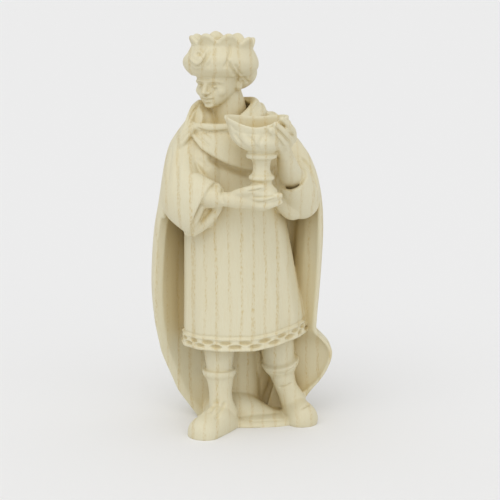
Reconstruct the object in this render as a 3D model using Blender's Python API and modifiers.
"""A wise man from a nativity set, carved in one piece from pale wood.

He stands in high boots on a scrap of carved ground, in a knee-long tunic with a raised
hem band and a floor-long cloak. His body is turned a little to his left and his head to
his right. He wears a turban with a crown and holds a cup by its bowl and its foot. X is
to the right of someone who faces him, Y runs from his front to his back, and Z is up.
"""

import math

import bmesh
import bpy
import numpy as np
from mathutils import Matrix, Vector

# Driving sizes, in metres.
HEIGHT = 0.120  # ground to the tip of the tallest crown leaf
CLOAK_THICKNESS = 0.0026
CUP_WALL = 0.0012
SLEEVE_WALL = 0.0014

# The pose and the drapery are drawn on a grid of about 120 units to the figure's height.
# At the end the carving is brought to its height, and centred over its base.
GRID = 120
UNIT = HEIGHT / GRID

VOXEL = 0.42  # grid units
MOST_TRIANGLES = 9300

BODY_TURN = math.radians(17)  # his chest faces a little to his left
HEAD_TURN = math.radians(-36)
HEAD_NOD = math.radians(6)
HEAD_CENTRE = Vector((-8.9, -1.2, 106.6))
HEAD_SCALE = (1.02, 1.0, 0.94)
CUP_CENTRE = (3.3, -21.6)

for obj in list(bpy.data.objects):
    bpy.data.objects.remove(obj, do_unlink=True)


# Points, paths and sections


def smooth_rows(rows, per_span=6):
    """A Catmull-Rom curve through the rows, which may hold radii after the coordinates."""
    rows = np.array(rows, float)
    padded = np.vstack([2 * rows[0] - rows[1], rows, 2 * rows[-1] - rows[-2]])
    curve = []
    for a, b, c, d in zip(padded, padded[1:], padded[2:], padded[3:]):
        for t in np.arange(per_span) / per_span:
            bend = (c - a) * t + (2 * a - 5 * b + 4 * c - d) * t**2 + (3 * b - a - 3 * c + d) * t**3
            curve.append(b + 0.5 * bend)
    curve.append(rows[-1])
    return np.array(curve)


def at_heights(stations, heights):
    """The stations' other columns at these heights. Their first column is the height."""
    curve = smooth_rows(stations, 10)
    order = np.argsort(curve[:, 0])
    return [np.interp(heights, curve[order, 0], column[order]) for column in curve.T[1:]]


def unit(vectors):
    return vectors / np.maximum(np.linalg.norm(vectors, axis=-1, keepdims=True), 1e-9)


def ease(t):
    """0 below 0, 1 above 1, and a smooth rise between them."""
    t = np.clip(t, 0, 1)
    return t * t * (3 - 2 * t)


def oval(x, y, z, half_width, half_depth, turn=BODY_TURN, power=2.0, count=72):
    """A level ring: a superellipse turned about the vertical."""
    angles = np.linspace(0, 2 * math.pi, count, endpoint=False)
    c, s = np.cos(angles), np.sin(angles)
    across = half_width * np.sign(c) * np.abs(c) ** (2 / power)
    deep = half_depth * np.sign(s) * np.abs(s) ** (2 / power)
    cos_t, sin_t = math.cos(turn), math.sin(turn)
    return np.column_stack([
        x + across * cos_t - deep * sin_t, y + across * sin_t + deep * cos_t, np.full(count, z),
    ])


# Solid forms


def new_object(name, mesh):
    form = bpy.data.objects.new(name, mesh)
    bpy.context.scene.collection.objects.link(form)
    return form


def loft(name, rings, endless=False):
    """A skin over rings of as many points each: capped at both ends, or run round to its start."""
    bm = bmesh.new()
    grid = [[bm.verts.new(point) for point in ring] for ring in rings]
    count = len(grid[0])
    for lower, upper in zip(grid, grid[1:] + grid[:1] if endless else grid[1:]):
        for i in range(count):
            j = (i + 1) % count
            bm.faces.new((lower[i], lower[j], upper[j], upper[i]))
    if not endless:
        bm.faces.new(grid[0])
        bm.faces.new(grid[-1])
    bmesh.ops.recalc_face_normals(bm, faces=bm.faces)
    mesh = bpy.data.meshes.new(name)
    bm.to_mesh(mesh)
    bm.free()
    return new_object(name, mesh)


def limb(name, rows, flat=(0, 0, 1), sides=24, wall=None, hollow=0, ends=1.0):
    """A limb through rows of x, y, z, radius and, where it isn't round, its radius along flat.

    Its ends are round, or flatter where ends is under 1. With a wall, its far end is open,
    and hollow back to that share of its length.
    """
    path = smooth_rows([(*row, row[3])[:5] for row in rows])
    points = path[:, :3]
    along = unit(np.gradient(points, axis=0))
    side = unit(np.cross(along, np.array(flat, float)))
    up = unit(np.cross(side, along))
    angles = np.linspace(0, 2 * math.pi, sides, endpoint=False)
    rings = []

    def ring(i, share=1.0, out=0.0, inset=0.0):
        centre = points[i] + along[i] * out
        wide = max(path[i, 3] - inset, 0.2) * share
        tall = max(path[i, 4] - inset, 0.2) * share
        rings.append(centre + np.outer(np.cos(angles) * wide, side[i]) + np.outer(
            np.sin(angles) * tall, up[i],
        ))

    round_end = np.radians((82, 60, 40, 20))
    for a in round_end:
        ring(0, math.cos(a), -math.sin(a) * path[0, 3:].min() * ends)
    for i in range(len(path)):
        ring(i)
    if wall:
        ring(-1, 1, 0.3, wall * 0.35)
        for i in range(len(path) - 1, int(len(path) * hollow), -1):
            ring(i, 1, 0, wall)
        ring(int(len(path) * hollow), 0.3, 0, wall)
    else:
        for a in round_end[::-1]:
            ring(-1, math.cos(a), math.sin(a) * path[-1, 3:].min() * ends)
    return loft(name, rings)


def ball(name, centre, radii, turn=(0, 0, 0)):
    """An ellipsoid, turned by angles in degrees about X, Y and Z through its own centre."""
    bpy.ops.mesh.primitive_uv_sphere_add(segments=36, ring_count=22, radius=1)
    form = bpy.context.object
    form.name = name
    spin = Matrix.Rotation(math.radians(turn[2]), 4, "Z") @ Matrix.Rotation(math.radians(turn[1]), 4, "Y")
    spin = spin @ Matrix.Rotation(math.radians(turn[0]), 4, "X")
    form.matrix_world = Matrix.Translation(centre) @ spin @ Matrix.Diagonal((*radii, 1))
    return form


# The tunic: height, centre x, centre y, half width, half depth
TUNIC = (
    (26.1, -1.7, -1.0, 19.1, 13.8),
    (32.0, -2.0, -1.1, 18.6, 13.4),
    (39.0, -2.4, -1.2, 18.1, 12.9),
    (57.0, -3.9, -1.4, 16.4, 12.0),
    (68.0, -5.0, -1.4, 15.2, 11.2),
    (78.0, -6.4, -1.2, 14.2, 10.4),
    (85.0, -7.2, -0.8, 12.8, 9.6),
    (89.0, -7.9, -0.4, 10.6, 8.6),
    (92.0, -8.2, 0.0, 7.6, 7.2),
)
HEM_BAND_TOP = 29.4
HEM_RISE = 2.2  # the hem is higher at his left side
HEM_HOLLOW = 4.5
FOLDS_IN_TUNIC = 14
FOLD_DEPTH = 0.22


def tunic():
    heights = np.linspace(TUNIC[0][0], TUNIC[-1][0], 60)
    rings = []
    for z, x, y, a, b in zip(heights, *at_heights(TUNIC, heights)):
        band = 0.35 * ease((HEM_BAND_TOP + 0.3 - z) / 0.6)
        ring = oval(x, y, z, a + band, b + band)
        fall = ease((72 - z) / 40)
        wave = FOLD_DEPTH * fall * np.sin(FOLDS_IN_TUNIC * np.linspace(
            0, 2 * math.pi, len(ring), endpoint=False,
        ))
        rings.append(ring + unit(ring - np.array([x, y, z])) * wave[:, None])
    z, x, y, a, b = TUNIC[0]
    rings = [oval(x, y, z + HEM_HOLLOW, a - 3.0, b - 3.0), oval(x, y, z + 0.1, a - 1.9, b - 1.9)] + rings
    for ring in rings:
        ring[:, 2] += HEM_RISE * ease(ring[:, 0] / 18) * ease((46 - ring[:, 2]) / 20)
    return [loft("tunic", rings)]


# The mantle's lower edge across his chest, as x and height, from the clasp down to the cup
MANTLE_EDGE = (
    (-30, 93), (-17.6, 91.2), (-14.6, 86.2), (-10.2, 83.6), (-5.8, 81.4), (0.0, 79.9), (8.0, 79.0),
    (30, 78),
)


def mantle():
    """The end of the cloak that crosses his chest stands clear of the tunic along a slanting edge."""
    edge_x = [x for x, _ in MANTLE_EDGE]
    edge_z = [z for _, z in MANTLE_EDGE]
    rings = []
    shares = np.linspace(0, 1, 22)
    for share in shares:
        ring = oval(0, 0, 0, 1, 1)
        for _ in range(3):
            low = np.interp(ring[:, 0] if _ else ring[:, 0] * 14 - 7, edge_x, edge_z)
            z = low + (92.6 - low) * share
            x, y, a, b = at_heights(TUNIC, z)
            swell = 3.1 - 1.0 * share**3 - 0.8 * (1 - ease(share / 0.08))
            angles = np.linspace(0, 2 * math.pi, len(ring), endpoint=False)
            across, deep = (a + swell) * np.cos(angles), (b + swell) * np.sin(angles)
            cos_t, sin_t = math.cos(BODY_TURN), math.sin(BODY_TURN)
            ring = np.column_stack([
                x + across * cos_t - deep * sin_t, y + across * sin_t + deep * cos_t, z,
            ])
        rings.append(ring)
    neckline = [(-17.4, -3.5, 92.6, 1.0), (-15.6, -7.8, 92.4, 1.2), (-10.8, -9.8, 92.2, 1.3)]
    neckline += [(-5.6, -9.6, 92.3, 1.3), (-1.0, -7.6, 93.2, 1.2), (2.0, -4.0, 94.2, 1.1)]
    clasp = ball("clasp", (-17.2, -8.6, 91.6), (1.3, 1.3, 1.5))
    return [loft("mantle", rings), limb("neckline", neckline), clasp]


# The cloak: height, left x, right x, back y, centre y, then the angles of its two front
# edges round the centre, in degrees, with his back at 90, and how much thicker than at
# those edges it is at its left and its right side.
CLOAK = (
    (-2.0, -15.6, 13.0, 13.0, 2.5, 184, -2, 8.0, 4.5),
    (0.5, -16.6, 14.4, 13.8, 2.4, 184, -2, 8.0, 4.5),
    (4.0, -19.0, 16.0, 15.2, 2.4, 184, -2, 8.0, 4.6),
    (8.5, -22.2, 19.0, 16.6, 2.4, 184, -2, 8.0, 5.6),
    (12.0, -23.8, 21.8, 17.6, 2.4, 184, -4, 7.8, 7.8),
    (16.0, -25.4, 24.2, 18.4, 2.4, 185, -6, 7.4, 10.0),
    (21.0, -27.4, 25.7, 19.0, 2.4, 186, -8, 7.0, 10.8),
    (24.5, -28.2, 24.2, 19.2, 2.4, 188, -8, 6.6, 8.8),
    (28.0, -28.9, 20.9, 19.3, 2.4, 190, -8, 7.2, 6.2),
    (32.0, -29.5, 20.8, 19.5, 2.4, 192, -10, 7.2, 6.0),
    (41.0, -30.2, 21.5, 19.8, 2.4, 196, -12, 7.0, 6.0),
    (50.0, -30.1, 22.1, 19.8, 2.4, 199, -14, 6.6, 5.8),
    (60.0, -29.4, 22.5, 19.5, 2.4, 201, -16, 5.6, 5.2),
    (69.0, -27.9, 22.0, 18.8, 2.2, 204, -15, 3.6, 3.4),
    (77.0, -26.6, 20.4, 17.6, 2.0, 207, -10, 1.0, 1.2),
    (82.0, -25.6, 18.3, 16.4, 1.8, 211, -4, 0.0, 0.0),
    (86.5, -24.2, 15.6, 14.8, 1.6, 218, 2, 0.0, 0.0),
    (90.0, -22.0, 12.4, 12.9, 1.4, 226, -4, 0.0, 0.0),
    (93.5, -19.4, 8.6, 10.6, 1.2, 232, -14, 0.0, 0.0),
    (96.5, -17.6, 4.8, 9.0, 1.4, 226, -12, 0.0, 0.0),
    (99.3, -16.0, 1.0, 8.2, 2.0, 196, 0, 0.0, 0.0),
)
CLOAK_FOLDS = 5
CLOAK_FOLD_DEPTH = 1.8
THIN_EDGE = 0.4  # how thick its left front edge is, as a share of the cloth


def cloak():
    """A sheet round his back and sides, with its folds deepest at the ground, and a rolled collar."""
    heights = np.concatenate([np.linspace(-2, 80, 56, endpoint=False), np.linspace(80, 99.3, 26)])
    shares = np.linspace(0, 1, 97)
    wall = CLOAK_THICKNESS / UNIT
    rings = []
    for z, left, right, back, y, start, end, more_left, more_right in zip(
        heights, *at_heights(CLOAK, heights),
    ):
        x, across, deep = (left + right) / 2, (right - left) / 2, back - y
        fold = np.cos(2 * math.pi * CLOAK_FOLDS * (shares - 0.5) + z / 26)
        fold *= CLOAK_FOLD_DEPTH * ease((88 - z) / 62) * ease(np.minimum(shares, 1 - shares) / 0.3)

        angles = np.radians(start + (end - start) * shares)
        c, s = np.cos(angles), np.sin(angles)

        def arc(inset):
            xs = x + (across + fold - inset) * np.sign(c) * np.abs(c) ** 0.92
            ys = y + (deep + fold - inset) * np.sign(s) * np.abs(s) ** 0.92
            return np.column_stack([xs, ys, np.full(len(xs), z)])

        thicker = max(more_left, 0) * (1 - (1 - np.clip(shares / 0.16, 0, 1)) ** 2) * (shares < 0.5)
        from_edge = np.clip((1 - shares) / 0.16, 0, 1)
        quick = ease((z - 24) / 6)
        ramp = (1 - quick) * ease(from_edge) + quick * (1 - (1 - from_edge) ** 2)
        thicker = thicker + max(more_right, 0) * ramp * (shares >= 0.5)
        thinner = (1 - THIN_EDGE) * (1 - ease((1 - shares) / 0.06)) * ease((z - 6) / 6) * ease((84 - z) / 8)
        rings.append(np.vstack([arc(0), arc(wall * (1 - thinner) + thicker)[::-1]]))
    sheet = loft("cloak", rings)
    shoulders = [
        ball("right_shoulder", (-15.4, -1.6, 86.6), (8.2, 7.8, 6.2), (0, -38, 0)),
        ball("left_shoulder", (4.8, 2.2, 88.4), (9.6, 7.6, 5.8), (0, 34, 0)),
    ]
    collar = [
        limb(
            "collar_right",
            [(-15.2, 3.6, 98.4, 1.1), (-16.6, -1.2, 97.2, 1.2), (-17.8, -5.0, 94.4, 1.2), (-18.8, -7.2, 91.6, 1.2),
             (-20.4, -7.8, 88.8, 1.0)],
        ),
        ball("inside_the_collar", (-13.6, 0.8, 93.0), (4.3, 5.6, 5.0)),
        limb(
            "edge_over_the_arm",
            [(-17.4, -8.8, 91.4, 1.2), (-19.2, -9.0, 88.8, 1.2), (-21.0, -8.4, 84.5, 1.2), (-22.7, -7.6, 78.0, 1.2),
             (-23.9, -6.6, 71.5, 1.2), (-25.8, -5.4, 65.5, 1.1)],
        ),
        limb(
            "collar_left",
            [
                (-1.6, 6.4, 98.8, 1.3), (1.1, 2.0, 98.9, 1.4), (1.3, -2.6, 97.7, 1.6),
                (-1.0, -6.8, 95.4, 1.6), (-4.4, -9.6, 93.4, 1.4),
            ],
        ),
        limb(
            "collar_left_outer",
            [
                (3.0, 3.0, 97.1, 1.6), (3.0, -2.6, 96.0, 1.8), (0.6, -7.2, 93.8, 1.8),
                (-1.6, -10.0, 91.4, 1.6),
            ],
        ),
        limb(
            "collar_left_slope",
            [
                (6.4, 3.0, 93.4, 2.6), (6.6, -2.0, 92.6, 2.8), (3.8, -6.8, 90.6, 2.5),
                (1.2, -9.6, 88.4, 1.9),
            ],
        ),
    ]
    return [sheet] + shoulders + collar


# What joins the tunic and the legs to the inside of the cloak: height, centre x, centre y,
# half width, half depth
CORE = (
    (-2.0, -6.0, 9.2, 9.6, 5.4),
    (6.0, -6.2, 10.2, 11.2, 5.6),
    (16.0, -5.2, 11.0, 14.6, 6.2),
    (26.0, -4.2, 10.8, 16.2, 7.2),
    (50.0, -4.4, 10.4, 16.4, 7.6),
    (72.0, -4.0, 9.0, 16.0, 8.0),
    (84.0, -5.2, 6.4, 13.8, 8.0),
    (92.0, -7.4, 4.0, 8.5, 5.6),
)


def core():
    heights = np.linspace(CORE[0][0], CORE[-1][0], 36)
    rings = [oval(x, y, z, a, b, 0, 2.4) for z, x, y, a, b in zip(heights, *at_heights(CORE, heights))]
    fold = [
        (-2, -3.4, 7.0, 6.4, 5.6), (12, -3.1, 7.0, 6.4, 5.4), (20, -2.6, 7.2, 6.6, 5.4),
        (29, -2.2, 7.4, 6.8, 5.4),
    ]
    between = loft("between_the_legs", [oval(x, y, z, a, b, 0.42, 2.2) for z, x, y, a, b in fold])
    ground = [(-2, 12.2, 9.8), (0.8, 11.8, 9.4), (1.8, 10.2, 8.0), (2.4, 6.5, 5.5)]
    mound = loft("ground", [oval(2.6, 0.8, z, a, b, 0.1, 3) for z, a, b in ground])
    bank = limb(
        "bank",
        [
            (-8.0, 2.6, 1.4, 6.8), (-3.4, 2.2, 1.2, 7.2), (1.6, 1.2, 0.4, 5.6), (7.0, 0.2, -0.2, 3.5),
            (13.0, -0.4, -0.5, 2.5),
        ],
        sides=32,
    )
    return [loft("core", rings), between, mound, bank]


def legs():
    """His right boot points forward and to his right; his left leg slants out, set back."""
    right = [
        limb(
            "right_calf", [(-9.4, -6.0, 28, 5.3), (-9.4, -6.6, 22, 4.5), (-9.3, -7.0, 18.4, 3.9)],
            (0, 1, 0), ends=0.1,
        ),
        limb(
            "right_cuff", [(-9.4, -7.0, 16.4, 4.9), (-9.4, -7.0, 17.2, 5.2), (-9.4, -7.0, 18.2, 5.2)],
            (0, 1, 0), ends=0.08,
        ),
        limb(
            "right_shaft",
            [
                (-9.3, -7.0, 17.0, 4.7), (-9.1, -7.2, 14.0, 3.9), (-9.0, -7.4, 10.5, 3.5),
                (-8.7, -7.4, 7.0, 3.9), (-8.0, -6.8, 3.6, 4.5),
            ],
            (0, 1, 0),
            ends=0.1,
        ),
        limb(
            "right_foot",
            [
                (-7.6, -6.6, 1.0, 4.5, 4.8), (-9.6, -10.4, 1.9, 4.7, 6.0),
                (-12.3, -14.2, 1.3, 5.0, 5.4), (-14.0, -16.6, 0.8, 5.1, 5.2),
            ],
            ends=0.85,
        ),
    ]
    left = [
        limb(
            "left_calf", [(8.0, 1.2, 29, 5.4), (8.5, 0.9, 23, 5.2), (9.3, 0.7, 16.6, 4.6)], (0, 1, 0),
            ends=0.1,
        ),
        limb(
            "left_cuff", [(10.0, 1.2, 15.0, 4.1), (9.6, 0.7, 17.0, 5.3), (9.3, 0.2, 18.9, 6.1)],
            (0, 1, 0), ends=0.15,
        ),
        limb(
            "left_shaft",
            [
                (9.6, 0.4, 17.0, 4.4), (10.3, 0.5, 13.6, 3.7), (11.5, 0.6, 10.0, 3.4),
                (13.2, 0.6, 6.4, 3.9), (14.2, 1.0, 3.4, 4.1),
            ],
            (0, 1, 0),
            ends=0.1,
        ),
        limb(
            "left_foot",
            [
                (13.6, 1.8, 1.0, 4.1), (14.4, -0.8, 2.2, 4.2, 5.2), (15.6, -3.0, 1.7, 4.7, 5.4),
                (16.4, -4.6, 1.3, 4.8, 5.3),
            ],
            ends=0.85,
        ),
    ]
    return right + left


def right_arm():
    """The wide sleeve hangs from his bent right arm, and its mouth gapes round a tight inner cuff."""
    sleeve = limb(
        "right_sleeve",
        [
            (-15.6, -2.4, 88.3, 5.8, 5.8),
            (-18.2, -5.2, 82.5, 6.2, 6.4),
            (-20.0, -8.8, 77.2, 5.6, 7.4),
            (-20.0, -12.4, 73.4, 5.0, 8.4),
            (-17.2, -15.2, 71.2, 4.8, 8.8),
            (-13.9, -16.8, 69.4, 4.9, 9.1),
        ],
        flat=(0.43, -0.21, 0.88),
        sides=40,
        wall=SLEEVE_WALL / UNIT,
        hollow=0.72,
    )
    beside_the_chest = limb(
        "beside_the_chest", [(-13.4, -5.2, 86, 5.0), (-12.8, -7.8, 80, 5.6), (-12.4, -8.6, 72, 5.2)],
    )
    forearm = limb(
        "right_forearm",
        [(-19.5, -11.5, 71.9, 4.4), (-14.4, -16.0, 73.2, 3.9), (-10.4, -18.6, 72.9, 2.9)],
    )
    cuff = limb(
        "right_cuff",
        [(-15.6, -15.4, 73.2, 3.9), (-12.0, -17.3, 73.0, 3.4), (-8.6, -18.8, 73.1, 3.15)], ends=0.35,
    )
    far_rim = limb(
        "far_rim",
        [
            (-8.6, -16.0, 72.0, 1.2), (-9.8, -16.4, 68.8, 1.4), (-12.9, -16.2, 65.0, 1.5),
            (-16.6, -14.6, 62.0, 1.4),
        ],
    )
    near_rim = limb(
        "near_rim",
        [(-9.8, -17.3, 75.6, 1.5), (-12.8, -17.6, 73.4, 1.7), (-14.8, -17.4, 69.8, 1.7), (-16.7, -16.6, 65.4, 1.7),
         (-18.0, -14.6, 62.2, 1.5)],
    )
    lining = ball("inside_the_sleeve", (-13.4, -13.6, 67.6), (3.0, 2.3, 4.0))
    palm = limb(
        "right_palm",
        [
            (-10.8, -18.4, 72.9, 2.5), (-7.0, -20.0, 72.6, 2.15), (-3.4, -21.0, 72.7, 2.4, 2.6),
            (0.8, -21.6, 72.6, 3.0, 2.6),
        ],
    )
    fingers = [
        limb(
            "right_thumb",
            [(-4.2, -21.4, 74.3, 1.3), (-0.6, -24.0, 75.7, 1.35), (3.2, -25.6, 76.9, 1.05)],
        ),
        limb("right_first", [(0.0, -23.2, 73.9, 1.2), (4.2, -25.6, 73.7, 1.15), (8.4, -24.2, 74.3, 1.0)]),
        limb(
            "right_second",
            [(0.0, -22.8, 71.8, 1.25), (4.2, -25.0, 71.6, 1.2), (8.4, -23.6, 72.4, 1.0)],
        ),
        limb("right_third", [(0.0, -21.2, 70.9, 1.15), (4.0, -22.8, 70.8, 1.1), (7.2, -21.6, 71.8, 1.0)]),
        limb("right_fourth", [(0.0, -19.4, 71.0, 1.1), (3.6, -20.2, 71.0, 1.0), (6.4, -19.4, 71.8, 0.9)]),
    ]
    return [sleeve, beside_the_chest, forearm, cuff, far_rim, near_rim, lining, palm] + fingers


def left_arm():
    """His left forearm comes up out of the sleeve's mouth, and the hand lies round the cup's bowl."""
    upper = limb(
        "left_upper_sleeve",
        [(6.6, 2.4, 87.0, 6.0), (12.0, 0.6, 80.6, 6.4), (14.8, -2.2, 73.6, 6.2), (15.0, -4.8, 70.2, 5.7)],
    )
    mouth = limb(
        "left_sleeve_mouth",
        [(15.3, -4.6, 69.8, 5.6, 5.6), (14.8, -7.2, 72.8, 5.2, 5.4), (12.9, -10.6, 77.2, 4.4, 5.2)],
        flat=(0.33, 0.62, 0.71),
        sides=36,
        wall=SLEEVE_WALL / UNIT,
        hollow=0.5,
    )
    side = limb("beside_the_left_sleeve", [(4.5, 0, 84, 6.0), (7.0, -1.5, 77, 6.0), (9.0, -1.8, 72, 4.2)])
    hanging = limb(
        "left_sleeve_fold",
        [(9.6, -4.4, 75.5, 3.4), (10.4, -5.8, 70.6, 3.8), (12.8, -5.8, 68.3, 4.2)],
    )
    forearm = limb(
        "left_forearm",
        [
            (15.2, -5.4, 73.8, 3.4), (12.1, -11.2, 78.6, 3.4), (10.8, -15.0, 82.0, 3.0),
            (9.9, -18.2, 85.8, 2.25),
        ],
    )
    palm = limb(
        "left_palm",
        [(9.9, -18.6, 85.4, 2.1), (9.6, -19.8, 87.6, 2.3, 2.2), (9.9, -20.4, 89.2, 2.4, 2.0)],
        flat=(0.5, -0.8, 0),
    )
    fingers = [
        limb("left_fourth", [(8.9, -20.6, 86.6, 1.0), (7.8, -24.4, 89.0, 1.0), (6.3, -27.2, 91.5, 0.85)]),
        limb(
            "left_third",
            [(10.2, -21.0, 87.6, 1.1), (9.0, -25.4, 90.4, 1.05), (5.8, -28.5, 93.5, 0.85)],
        ),
        limb(
            "left_second",
            [(11.4, -20.8, 88.7, 1.1), (10.4, -25.0, 91.9, 1.05), (7.1, -28.2, 95.0, 0.85)],
        ),
        limb(
            "left_first",
            [(12.4, -19.8, 89.9, 1.1), (11.9, -23.2, 93.0, 1.05), (9.0, -26.2, 96.3, 0.85)],
        ),
        limb("left_thumb", [(10.4, -18.4, 87.6, 1.2), (10.2, -15.6, 90.6, 1.2), (7.4, -14.4, 93.0, 1.0)]),
    ]
    return [upper, mouth, side, hanging, forearm, palm] + fingers


# The cup: height and radius, from under its foot up to the lip
CUP = (
    (74.4, 4.2), (75.2, 4.7), (76.0, 4.2), (77.2, 3.1), (78.2, 2.9), (78.6, 3.5), (79.2, 3.8), (
        79.9, 3.4,
    ),
    (80.3, 2.8), (82.3, 2.45), (84.4, 2.9), (84.8, 4.2), (85.6, 4.55), (86.3, 4.2), (86.6, 3.2), (
        87.2, 4.7,
    ),
    (88.2, 6.4), (89.6, 7.8), (91.2, 8.3), (92.6, 8.7), (93.3, 9.15), (94.0, 9.3),
)
BOWL_FROM = 86.6
BOWL_DEPTH = 0.7  # of its width: the bowl is boat-shaped
BOWL_LEAN = -1.5  # its lip sits this far to one side of the stem
FLUTES = 12


def cup():
    """A stemmed cup with a fluted bowl, whose lip rises at the two ends and at the back."""
    wall = CUP_WALL / UNIT
    angles = np.linspace(0, 2 * math.pi, 96, endpoint=False)
    c, s = np.cos(angles), np.sin(angles)
    rise = 2.9 * np.abs(c) ** 1.6 + 2.0 * np.clip(s, 0, 1) ** 2

    def ring(z, radius, flute):
        share = ease((z - BOWL_FROM) / (94.0 - BOWL_FROM))
        r = radius + flute * 0.22 * np.cos(FLUTES * angles)
        across, deep = r * c, r * s * (1 + (BOWL_DEPTH - 1) * share)
        lean = BOWL_LEAN * share
        return np.column_stack([
            CUP_CENTRE[0] + lean + across, CUP_CENTRE[1] + deep, z + rise * share**1.5,
        ])

    outer = smooth_rows(CUP, 4)
    rings = [ring(z, r, float(ease((z - 87) / 1) * ease((93 - z) / 1))) for z, r in outer]
    inner = [
        (94.3, 8.7), (93.6, 9.1 - wall), (92.0, 8.2 - wall), (90.6, 7.3 - wall), (89.4, 5.7 - wall),
        (88.9, 1.4),
    ]
    rings += [ring(z, r, 0) for z, r in inner]
    return [loft("cup", rings)]


# Head, turban and crown. The head is drawn facing the front, about its own centre.


def placed_on_head(forms):
    spin = Matrix.Rotation(HEAD_TURN, 4, "Z") @ Matrix.Rotation(HEAD_NOD, 4, "X")
    place = Matrix.Translation(HEAD_CENTRE) @ spin @ Matrix.Diagonal((*HEAD_SCALE, 1))
    for form in forms:
        form.matrix_world = place @ form.matrix_world
    return forms


# The face below the brow: height, centre y, half width, half depth
FACE = (
    (-8.5, -4.3, 1.9, 1.6),
    (-7.6, -3.6, 3.2, 3.0),
    (-6.0, -2.5, 4.6, 4.5),
    (-4.2, -1.5, 5.4, 5.6),
    (-2.0, -0.9, 5.8, 6.1),
    (0.0, -0.8, 6.0, 6.2),
    (2.6, -0.7, 6.3, 6.5),
)


def head():
    heights = np.linspace(FACE[0][0], FACE[-1][0], 24)
    rings = [oval(0, y, z, a, b, 0, 2.3, 48) for z, y, a, b in zip(heights, *at_heights(FACE, heights))]
    forms = [
        loft("face", rings),
        ball("skull", (0, 0.9, 2.4), (6.5, 7.4, 7.2)),
        ball("back_of_head", (0, 2.4, -1.6), (5.2, 5.4, 5.4)),
        limb("neck", [(1.5, 1.8, -15, 5.6), (1.1, 1.6, -10, 5.2), (0.3, 1.2, -5, 4.9)]),
        limb(
            "brow",
            [
                (-4.2, -5.0, 0.7, 0.6), (-2.2, -6.5, 1.0, 0.75), (0, -7.0, 0.5, 0.65),
                (2.2, -6.5, 1.0, 0.75), (4.2, -5.0, 0.7, 0.6),
            ],
        ),
        limb("nose", [(0, -6.7, 0.2, 0.65), (0, -7.6, -1.7, 0.85), (0, -8.4, -3.3, 1.05)]),
        ball("chin", (0, -5.7, -7.6), (1.8, 1.4, 1.2)),
        limb(
            "upper_lip",
            [
                (-2.0, -5.9, -5.5, 0.4), (-0.7, -6.8, -5.1, 0.6), (0, -6.9, -5.2, 0.5),
                (0.7, -6.8, -5.1, 0.6), (2.0, -5.9, -5.5, 0.4),
            ],
        ),
        limb("lower_lip", [(-1.6, -5.8, -6.1, 0.35), (0, -6.6, -6.3, 0.7), (1.6, -5.8, -6.1, 0.35)]),
    ]
    for side in (-1, 1):
        forms += [
            ball("eye", (side * 2.5, -5.5, -0.9), (1.35, 1.0, 0.85)),
            ball("nostril", (side * 1.05, -7.3, -3.7), (0.8, 0.85, 0.65)),
            ball("cheek", (side * 3.2, -4.7, -3.0), (1.9, 1.6, 1.9)),
            ball("ear", (side * 6.2, 0.8, -2.0), (0.9, 1.6, 2.4), (-8, 0, side * 14)),
        ]
    return placed_on_head(forms)


TURBAN_TOP = (
    (107.0, 9.0), (109.0, 10.9), (111.0, 11.1), (113.0, 10.4), (114.6, 9.5), (115.8, 8.6),
    (116.4, 5.0), (116.6, 1.0),
)
CROWN_CENTRE = (-8.2, 0.0)
CROWN_LEAVES = 8
CROWN_PHASE = math.radians(14)


def turban_and_crown():
    turban = [
        ball("turban", (-8.8, -0.4, 110.4), (11.3, 11.0, 5.3), (-7, 3, 0)),
        ball("turban_back", (-5.8, 3.4, 107.7), (8.0, 8.0, 5.6)),
        loft("turban_top", [oval(-8.5, -0.1, z, r, r * 0.98) for z, r in smooth_rows(TURBAN_TOP)]),
    ]
    brooch = ball("brooch", (-15.2, -8.8, 112.0), (2.5, 1.5, 2.9), (0, 12, -38))
    sections = []
    for angle in np.linspace(0, 2 * math.pi, 144, endpoint=False):
        # The angle is 0 at his front and grows towards the right of the view.
        leaf = (0.5 + 0.5 * math.cos(CROWN_LEAVES * (angle - CROWN_PHASE))) ** 0.6
        top = 115.9 + 2.3 * leaf + 1.3 * math.cos(angle) ** 2 - 0.4 * math.sin(angle)
        out = 0.9 * leaf
        profile = (
            (8.8, 112), (8.8, 114.6), (8.7, 115.8), (8.8 + out * 0.6, top - 1.5),
            (9.2 + out, top - 0.7),
        )
        profile += (
            (9.1 + out, top), (8.4 + out, top + 0.35), (7.7 + out, top), (7.2, top - 1.2),
            (6.9, 115.4), (6.6, 112),
        )
        x, y = math.sin(angle), -math.cos(angle)
        sections.append([(CROWN_CENTRE[0] + r * x, CROWN_CENTRE[1] + r * y, z) for r, z in profile])
    return turban + [brooch, loft("crown", sections, endless=True)]


# Joining, smoothing and finishing


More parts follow.
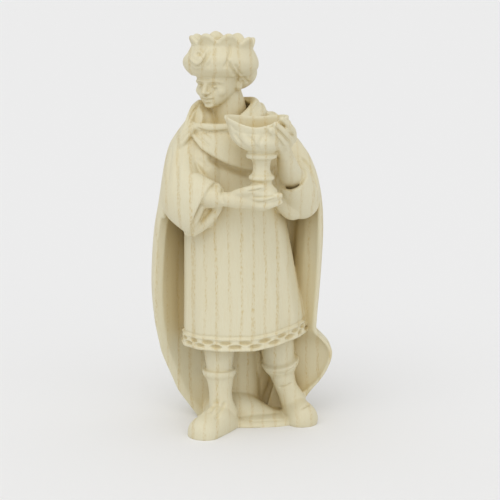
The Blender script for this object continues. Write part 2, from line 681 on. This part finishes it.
def joined(name, forms, voxel, smoothing):
    """The forms as one skin, with its corners softened."""
    bpy.ops.object.select_all(action="DESELECT")
    for form in forms:
        form.select_set(True)
    bpy.context.view_layer.objects.active = forms[0]
    bpy.ops.object.convert(target="MESH")
    if len(forms) > 1:
        bpy.ops.object.join()
    skin = bpy.context.object
    skin.name = name
    bpy.ops.object.transform_apply(location=True, rotation=True, scale=True)
    remesh = skin.modifiers.new("one_skin", "REMESH")
    remesh.mode = "VOXEL"
    remesh.voxel_size = voxel
    if smoothing:
        soft = skin.modifiers.new("soft", "SMOOTH")
        soft.factor = 0.5
        soft.iterations = smoothing
    bpy.ops.object.convert(target="MESH")
    return skin


def build():
    body = joined("body", tunic() + mantle() + cloak() + core() + legs(), VOXEL, 6)
    arms = joined("arms", right_arm() + left_arm() + cup(), VOXEL, 2)
    face = joined("head", head(), VOXEL, 1)
    top = joined("top", turban_and_crown(), VOXEL, 5)
    return joined("wise_man", [body, arms, face, top], VOXEL, 3)


def simplified(skin, most):
    plane = skin.modifiers.new("triangles", "DECIMATE")
    plane.ratio = most / (2 * len(skin.data.polygons))
    bpy.ops.object.convert(target="MESH")
    return skin


def flat_underneath(skin):
    """Everything below the ground is cut away, so that he stands on one plane."""
    bpy.ops.mesh.primitive_cube_add(size=1)
    below = bpy.context.object
    below.name = "below_the_ground"
    below.scale = (200, 200, 40)
    below.location = (0, 0, -20)
    cut = skin.modifiers.new("flat_underside", "BOOLEAN")
    cut.object = below
    cut.operation = "DIFFERENCE"
    cut.solver = "EXACT"
    bpy.ops.object.select_all(action="DESELECT")
    skin.select_set(True)
    bpy.context.view_layer.objects.active = skin
    bpy.ops.object.convert(target="MESH")
    bpy.data.objects.remove(below, do_unlink=True)
    return skin


def brought_to_size(skin):
    points = np.array([vertex.co for vertex in skin.data.vertices])
    low, high = points.min(axis=0), points.max(axis=0)
    scale = HEIGHT / high[2]
    middle = (low + high) / 2
    skin.data.transform(Matrix.Scale(scale, 4) @ Matrix.Translation((-middle[0], -middle[1], 0)))
    return skin


wise_man = brought_to_size(flat_underneath(simplified(build(), MOST_TRIANGLES)))
wise_man.name = "wise_man"
wood = bpy.data.materials.new("pale_wood")
wood.use_nodes = True
surface = wood.node_tree.nodes["Principled BSDF"]
surface.inputs["Base Color"].default_value = (0.74, 0.66, 0.48, 1)
surface.inputs["Roughness"].default_value = 0.6
wise_man.data.materials.clear()
wise_man.data.materials.append(wood)
collection = bpy.data.collections.new("Wise man")
bpy.context.scene.collection.children.link(collection)
collection.objects.link(wise_man)
bpy.context.scene.collection.objects.unlink(wise_man)
